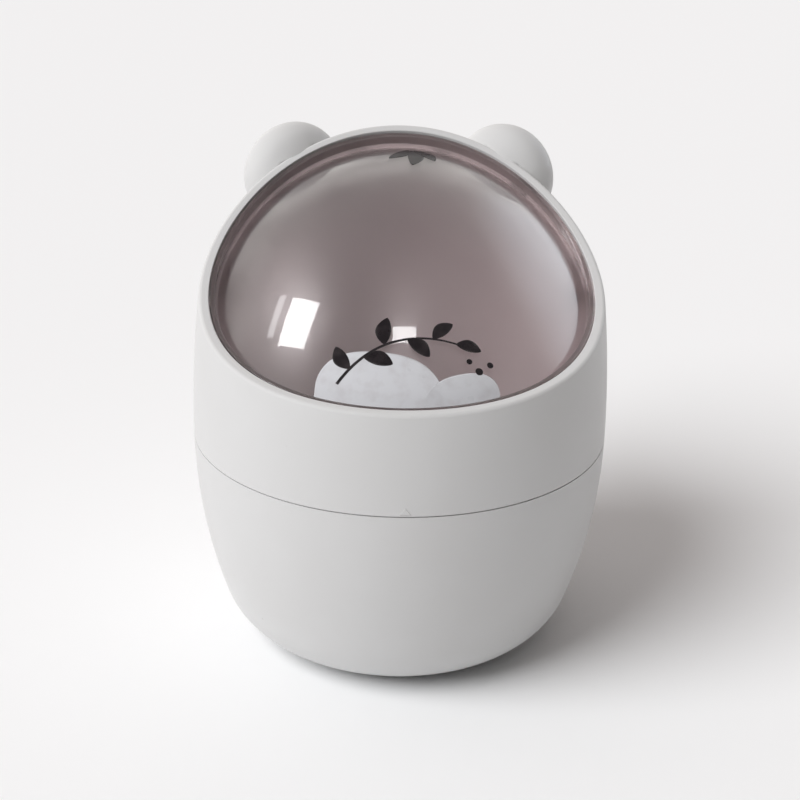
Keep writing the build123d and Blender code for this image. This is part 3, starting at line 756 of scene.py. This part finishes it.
def printing_ink(name, colour, thin_colour, rough):
    """Printing ink: an even colour, thin in a few pinholes, with a soft orange-peel gloss."""
    paint, tree = new_paint(name)
    place = tree.nodes.new("ShaderNodeTexCoord").outputs["Object"]
    bump = add_node(tree, "ShaderNodeBump", {
        "Strength": PEEL_STRENGTH,
        "Distance": PEEL_HEIGHT,
        "Height": noise(tree, place, PEEL_SCALE, detail=2.0),
    })
    pits = noise(tree, place, PINHOLE_SCALE, detail=4.0)
    pinholes = spread(tree, pits, 0, 1, *PINHOLE_EDGE)
    shader = add_node(tree, "ShaderNodeBsdfPrincipled", {
        "Base Color": blend_colours(tree, pinholes, colour, thin_colour),
        "Roughness": uneven(tree, rough, INK_SHINE_SWING, place, INK_SHINE_SCALE, detail=3.0),
        "Normal": bump.outputs["Normal"],
        "IOR": INK_IOR,
    })
    add_node(tree, "ShaderNodeOutputMaterial", {"Surface": shader.outputs["BSDF"]})
    return paint


white_ink = printing_ink("white_ink", WHITE_INK, WHITE_INK_THIN, WHITE_INK_ROUGH)
black_ink = printing_ink("black_ink", BLACK_INK, BLACK_INK_THIN, BLACK_INK_ROUGH)

# Each hill is its middle, width and height.
HILLS = ((-8, 40, 20), (17, 24, 11.5))

hills = [hill(*numbers) for numbers in HILLS]
ink_film("printed_hills", FRONT_PAD, hills, white_ink, coat=1)

# The stem is its three handles. Each leaf is where it starts, its length, width and direction,
# and each berry its middle and radius.
SPRIG_LINE = ((-21, -11.5), (-7, 7.5), (16, 1.5))
STEM_THICKNESS = 0.8
SPRIG_LEAVES = (
    (-17.2, -6.9, 9.0, 4.4, 118),
    (-13.0, -3.0, 9.5, 4.8, -18),
    (-6.6, 0.7, 9.5, 4.8, 84),
    (0.6, 2.7, 9.0, 4.6, -42),
    (8.3, 2.9, 8.5, 4.2, 42),
    (15.5, 1.6, 8.0, 4.0, -12),
)
BERRIES = ((22.5, -7.0, 1.2), (26.0, -4.4, 1.0), (19.5, -4.0, 0.9))
TREFOIL_LEAVES = (
    (0.0, -1.5, 17.0, 5.4, 270),
    (-1.0, -1.2, 13.0, 5.0, 238),
    (1.0, -1.2, 13.0, 5.0, 302),
)

sprig = [stem(SPRIG_LINE, STEM_THICKNESS)]
sprig += [leaf(*numbers) for numbers in SPRIG_LEAVES]
sprig += [dot(*numbers) for numbers in BERRIES]
ink_film("printed_sprig", FRONT_PAD, sprig, black_ink, coat=2)
trefoil = [leaf(*numbers) for numbers in TREFOIL_LEAVES]
ink_film("printed_trefoil", TOP_PAD, trefoil, black_ink, coat=1)

# ---------------------------------------------------------------------------------------------
# Pivot pins and clips.  Two turned steel pins, pushed through the lid's lugs into the collar's
# bushes, so that the lid tips about them.  A thin stamped ring snaps into each pin's groove and
# keeps it from sliding out.
# ---------------------------------------------------------------------------------------------
paint_nodes(steel, "pivot_pin_left", "pivot_pin_right", "pin_clip_left", "pin_clip_right")

# ---------------------------------------------------------------------------------------------
# Return springs.  Two hard-drawn torsion springs on the pins: one leg lies in the lid's lug, the
# other in the housing's boss, so they wind up as the lid is pushed and throw it shut again.
# ---------------------------------------------------------------------------------------------
WIRE_RADIUS = 0.0003
COIL_RADIUS = 0.00185
COIL_PITCH = 0.00068
COIL_TURNS = 2.5
COIL_START = 0.0602
LEG_LENGTH = 0.006
PIVOT_Y = 0.006
PIVOT_Z = 0.1185


def torsion_spring(side, leg_steps=8, coil_steps=120, sides=10):
    """A round wire swept along a straight leg, a helix about the pivot and a second leg. Across
    the wire, a ring is drawn on the coil's own radius and on what is square to it."""
    turn = np.linspace(0, 2 * math.pi * COIL_TURNS, coil_steps)
    fall = np.linspace(1, 0, leg_steps, endpoint=False)
    angle = np.concatenate((np.full(leg_steps, turn[0]), turn, np.full(leg_steps, turn[-1])))
    below = LEG_LENGTH * np.concatenate((fall, np.zeros(coil_steps), fall[::-1]))
    outward = np.stack((0 * angle, np.cos(angle), np.sin(angle)), axis=-1)
    path = COIL_RADIUS * outward
    path[:, 0] = COIL_START + COIL_PITCH * angle / (2 * math.pi)
    path[:, 1] += PIVOT_Y
    path[:, 2] += PIVOT_Z - below
    along = np.gradient(path, axis=0)
    along /= np.linalg.norm(along, axis=1)[:, None]
    square = np.cross(outward, along)
    square /= np.linalg.norm(square, axis=1)[:, None]
    ring = np.linspace(0, 2 * math.pi, sides, endpoint=False)
    points = path[:, None, :] + WIRE_RADIUS * (
        np.cos(ring)[None, :, None] * outward[:, None, :]
        + np.sin(ring)[None, :, None] * square[:, None, :]
    )
    points = np.vstack((points.reshape(-1, 3), path[:1], path[-1:]))
    faces = skin_with_poles(len(path), sides)
    if side < 0:
        points[:, 0] *= -1
        faces = [face[::-1] for face in faces]
    return points, faces


for word, side in (("right", 1), ("left", -1)):
    spring = add_mesh(f"spring_wire_{word}", *torsion_spring(side))
    spring.data.materials.append(steel)
    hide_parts(f"return_spring_{word}")
    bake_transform(spring)
